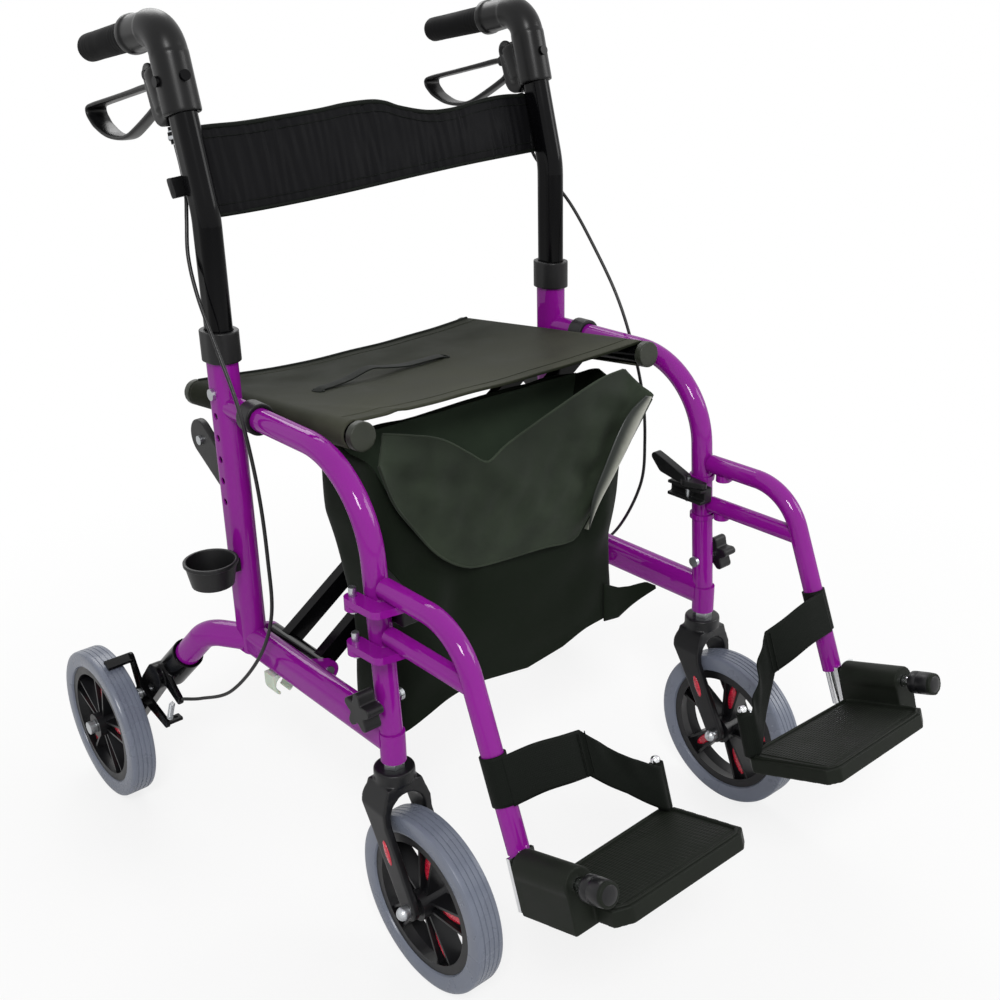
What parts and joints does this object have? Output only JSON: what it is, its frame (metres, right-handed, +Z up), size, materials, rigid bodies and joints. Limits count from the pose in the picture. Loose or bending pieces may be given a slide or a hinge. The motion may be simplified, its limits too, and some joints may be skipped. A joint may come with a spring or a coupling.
{
  "type": "rollator transport chair",
  "caption": "Folding four-wheeled walker with sling seat, bag, back band, loop brakes and swing-away footrests, so it also serves as a transport chair.",
  "frame": {"origin": "on the floor under the middle of the overall box", "axes": "+Z up, -Y the way the chair faces, -X its right side"},
  "size_m": [0.7568, 0.9296, 0.973],
  "materials": {
    "purple_paint": "gloss paint",
    "black_paint": "satin paint",
    "black_plastic": "moulded",
    "steel": "zinc plated",
    "bright_steel": "chrome plated",
    "grey_tyre": "moulded, grooved",
    "grip_rubber": "soft, ridged",
    "cable_cover": "smooth",
    "pale_plastic": "moulded",
    "black_cloth": "woven, padded"
  },
  "bodies": {
    "right_frame": {"right_side_frame": "purple_paint", "right_upright_collar": "black_plastic", "right_frame_fittings": "black_plastic", "right_wheel_bracket": "black_plastic", "right_frame_hardware": "steel", "right_brake_cable": "cable_cover", "right_storage_clip": "pale_plastic", "cup_holder": "black_plastic"},
    "left_frame": {"left_side_frame": "purple_paint", "left_upright_collar": "black_plastic", "left_frame_fittings": "black_plastic", "left_wheel_bracket": "black_plastic", "left_frame_hardware": "steel", "left_brake_cable": "cable_cover", "left_storage_clip": "pale_plastic"},
    "cross_a": {"cross_leg_a": "black_paint", "seat_caps_a": "black_plastic", "cross_bolts": "steel"},
    "cross_b": {"cross_leg_b": "black_paint", "seat_caps_b": "black_plastic", "seat_sling": "black_cloth"},
    "bag": {"bag": "black_cloth"},
    "right_handle": {"right_push_tube": "black_paint", "right_handle_housing": "black_plastic", "right_hand_grip": "grip_rubber", "right_handle_hardware": "steel", "backrest": "black_cloth"},
    "right_lever": {"right_brake_lever": "black_plastic"},
    "right_brake": {"right_brake_arm": "black_paint"},
    "right_rear_wheel": {"right_rear_tyre": "grey_tyre", "right_rear_rim": "black_plastic"},
    "right_caster": {"right_caster_fork": "black_plastic", "right_caster_hardware": "steel"},
    "right_front_wheel": {"right_front_tyre": "grey_tyre", "right_front_rim": "black_plastic"},
    "right_hanger": {"right_hanger": "purple_paint", "right_footrest_leg": "bright_steel", "right_heel_strap": "black_cloth"},
    "right_latch": {"right_latch_lever": "black_plastic"},
    "right_footplate": {"right_footplate": "black_plastic"},
    "right_knob": {"right_star_knob": "black_plastic"},
    "left_handle": {"left_push_tube": "black_paint", "left_handle_housing": "black_plastic", "left_hand_grip": "grip_rubber", "left_handle_hardware": "steel"},
    "left_lever": {"left_brake_lever": "black_plastic"},
    "left_brake": {"left_brake_arm": "black_paint"},
    "left_rear_wheel": {"left_rear_tyre": "grey_tyre", "left_rear_rim": "black_plastic"},
    "left_caster": {"left_caster_fork": "black_plastic", "left_caster_hardware": "steel"},
    "left_front_wheel": {"left_front_tyre": "grey_tyre", "left_front_rim": "black_plastic"},
    "left_hanger": {"left_hanger": "purple_paint", "left_footrest_leg": "bright_steel", "left_heel_strap": "black_cloth"},
    "left_latch": {"left_latch_lever": "black_plastic"},
    "left_footplate": {"left_footplate": "black_plastic"},
    "left_knob": {"left_star_knob": "black_plastic"}
  },
  "joints": [
    {"name": "fold", "type": "hinge", "parent": "right_frame", "child": "cross_a", "pos_m": [-0.214, 0.09, 0.27], "axis": [0, -1, 0], "range_deg": [0, 38]},
    {"name": "fold_cross", "type": "hinge", "parent": "cross_a", "child": "cross_b", "pos_m": [0, 0.09, 0.41741], "axis": [0, -1, 0], "range_deg": [-76, 0], "deforming": ["seat_sling"]},
    {"name": "fold_left", "type": "hinge", "parent": "cross_b", "child": "left_frame", "pos_m": [0.214, 0.09, 0.27], "axis": [0, -1, 0], "range_deg": [0, 38], "deforming": ["backrest"]},
    {"name": "bag_hang", "type": "hinge", "parent": "cross_b", "child": "bag", "pos_m": [-0.207, 0, 0.56], "axis": [0, -1, 0], "range_deg": [0, 38], "deforming": ["bag"]},
    {"name": "right_height", "type": "slide", "parent": "right_frame", "child": "right_handle", "axis": [0, 0, 1], "range_m": [-0.1, 0], "deforming": ["right_brake_cable"]},
    {"name": "right_squeeze", "type": "hinge", "parent": "right_handle", "child": "right_lever", "pos_m": [-0.243, 0.21615, 0.90916], "axis": [1, 0, 0], "range_deg": [0, 13], "stiffness_Nm_per_rad": 1.5, "springref_deg": -8.59},
    {"name": "right_brake", "type": "hinge", "parent": "right_frame", "child": "right_brake", "pos_m": [-0.29839, 0.31227, 0.1546], "axis": [-1, 0, 0], "range_deg": [0, 4.6]},
    {"name": "right_rear_spin", "type": "hinge", "parent": "right_frame", "child": "right_rear_wheel", "pos_m": [-0.349, 0.365, 0.1], "axis": [1, 0, 0], "continuous": true},
    {"name": "right_swivel", "type": "hinge", "parent": "right_frame", "child": "right_caster", "pos_m": [-0.243, -0.137, 0.2], "axis": [0, 0, 1], "continuous": true},
    {"name": "right_front_spin", "type": "hinge", "parent": "right_caster", "child": "right_front_wheel", "pos_m": [-0.243, -0.19, 0.1], "axis": [1, 0, 0], "continuous": true},
    {"name": "right_swing", "type": "hinge", "parent": "right_frame", "child": "right_hanger", "pos_m": [-0.266, -0.117, 0.4], "axis": [0, 0, -1], "range_deg": [0, 90]},
    {"name": "right_latch_turn", "type": "hinge", "parent": "right_frame", "child": "right_latch", "pos_m": [-0.217, -0.12664, 0.43], "axis": [0, 0, 1], "range_deg": [0, 20]},
    {"name": "right_flip", "type": "hinge", "parent": "right_hanger", "child": "right_footplate", "pos_m": [-0.25, -0.34918, 0.243], "axis": [0, -0.9511, 0.309], "range_deg": [0, 90], "deforming": ["right_heel_strap"]},
    {"name": "left_height", "type": "slide", "parent": "left_frame", "child": "left_handle", "axis": [0, 0, 1], "range_m": [-0.1, 0], "deforming": ["left_brake_cable"]},
    {"name": "left_squeeze", "type": "hinge", "parent": "left_handle", "child": "left_lever", "pos_m": [0.243, 0.21615, 0.90916], "axis": [1, 0, 0], "range_deg": [0, 13], "stiffness_Nm_per_rad": 1.5, "springref_deg": -8.59},
    {"name": "left_brake", "type": "hinge", "parent": "left_frame", "child": "left_brake", "pos_m": [0.29839, 0.31227, 0.1546], "axis": [-1, 0, 0], "range_deg": [0, 4.6]},
    {"name": "left_rear_spin", "type": "hinge", "parent": "left_frame", "child": "left_rear_wheel", "pos_m": [0.349, 0.365, 0.1], "axis": [1, 0, 0], "continuous": true},
    {"name": "left_swivel", "type": "hinge", "parent": "left_frame", "child": "left_caster", "pos_m": [0.243, -0.137, 0.2], "axis": [0, 0, 1], "continuous": true},
    {"name": "left_front_spin", "type": "hinge", "parent": "left_caster", "child": "left_front_wheel", "pos_m": [0.243, -0.19, 0.1], "axis": [1, 0, 0], "continuous": true},
    {"name": "left_swing", "type": "hinge", "parent": "left_frame", "child": "left_hanger", "pos_m": [0.266, -0.117, 0.4], "axis": [0, 0, 1], "range_deg": [0, 90]},
    {"name": "left_latch_turn", "type": "hinge", "parent": "left_frame", "child": "left_latch", "pos_m": [0.217, -0.12664, 0.43], "axis": [0, 0, -1], "range_deg": [0, 20]},
    {"name": "left_flip", "type": "hinge", "parent": "left_hanger", "child": "left_footplate", "pos_m": [0.25, -0.34918, 0.243], "axis": [0, 0.9511, -0.309], "range_deg": [0, 90], "deforming": ["left_heel_strap"]},
    {"name": "right_knob_turn", "type": "hinge", "parent": "right_frame", "child": "right_knob", "pos_m": [-0.243, -0.13271, 0.318], "axis": [1, 0, 0], "continuous": true},
    {"name": "left_knob_turn", "type": "hinge", "parent": "left_frame", "child": "left_knob", "pos_m": [0.243, -0.13271, 0.318], "axis": [1, 0, 0], "continuous": true}
  ],
  "couplings": [
    {"joint": "fold_cross", "follows": "fold", "ratio": -2},
    {"joint": "fold_left", "follows": "fold", "ratio": 1},
    {"joint": "bag_hang", "follows": "fold", "ratio": 1},
    {"joint": "right_flip", "follows": "fold", "ratio": 2.36},
    {"joint": "left_flip", "follows": "fold", "ratio": 2.36},
    {"joint": "left_height", "follows": "right_height", "ratio": 1},
    {"joint": "right_brake", "follows": "right_squeeze", "ratio": 0.34},
    {"joint": "left_brake", "follows": "left_squeeze", "ratio": 0.34}
  ]
}
